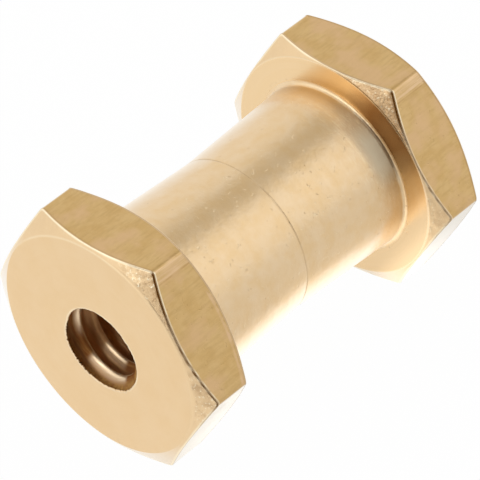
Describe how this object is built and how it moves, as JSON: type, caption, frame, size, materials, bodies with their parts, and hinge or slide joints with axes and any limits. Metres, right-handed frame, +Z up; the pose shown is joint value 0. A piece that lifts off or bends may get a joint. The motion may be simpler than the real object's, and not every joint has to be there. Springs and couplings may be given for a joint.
{
  "type": "thread adapter",
  "caption": "Solid brass thread adapter turned from hexagon bar: chamfered hexagonal ends joined by a round waist that narrows to its middle, with an internally threaded hole in each end.",
  "frame": {"origin": "centre of the length and width at the lowest face, where the piece lies on one hexagon flat", "axes": "+X along the axis of the piece, out of the larger threaded hole; +Z up, square to the hexagon flat it lies on; +Y across the piece"},
  "size_m": [0.0254, 0.0182, 0.0159],
  "materials": {
    "brass": "satin, as machined and drawn, with fine turning marks on the turned faces and scuffs along the flats"
  },
  "bodies": {
    "root": {"adapter_body": "brass"}
  },
  "joints": []
}
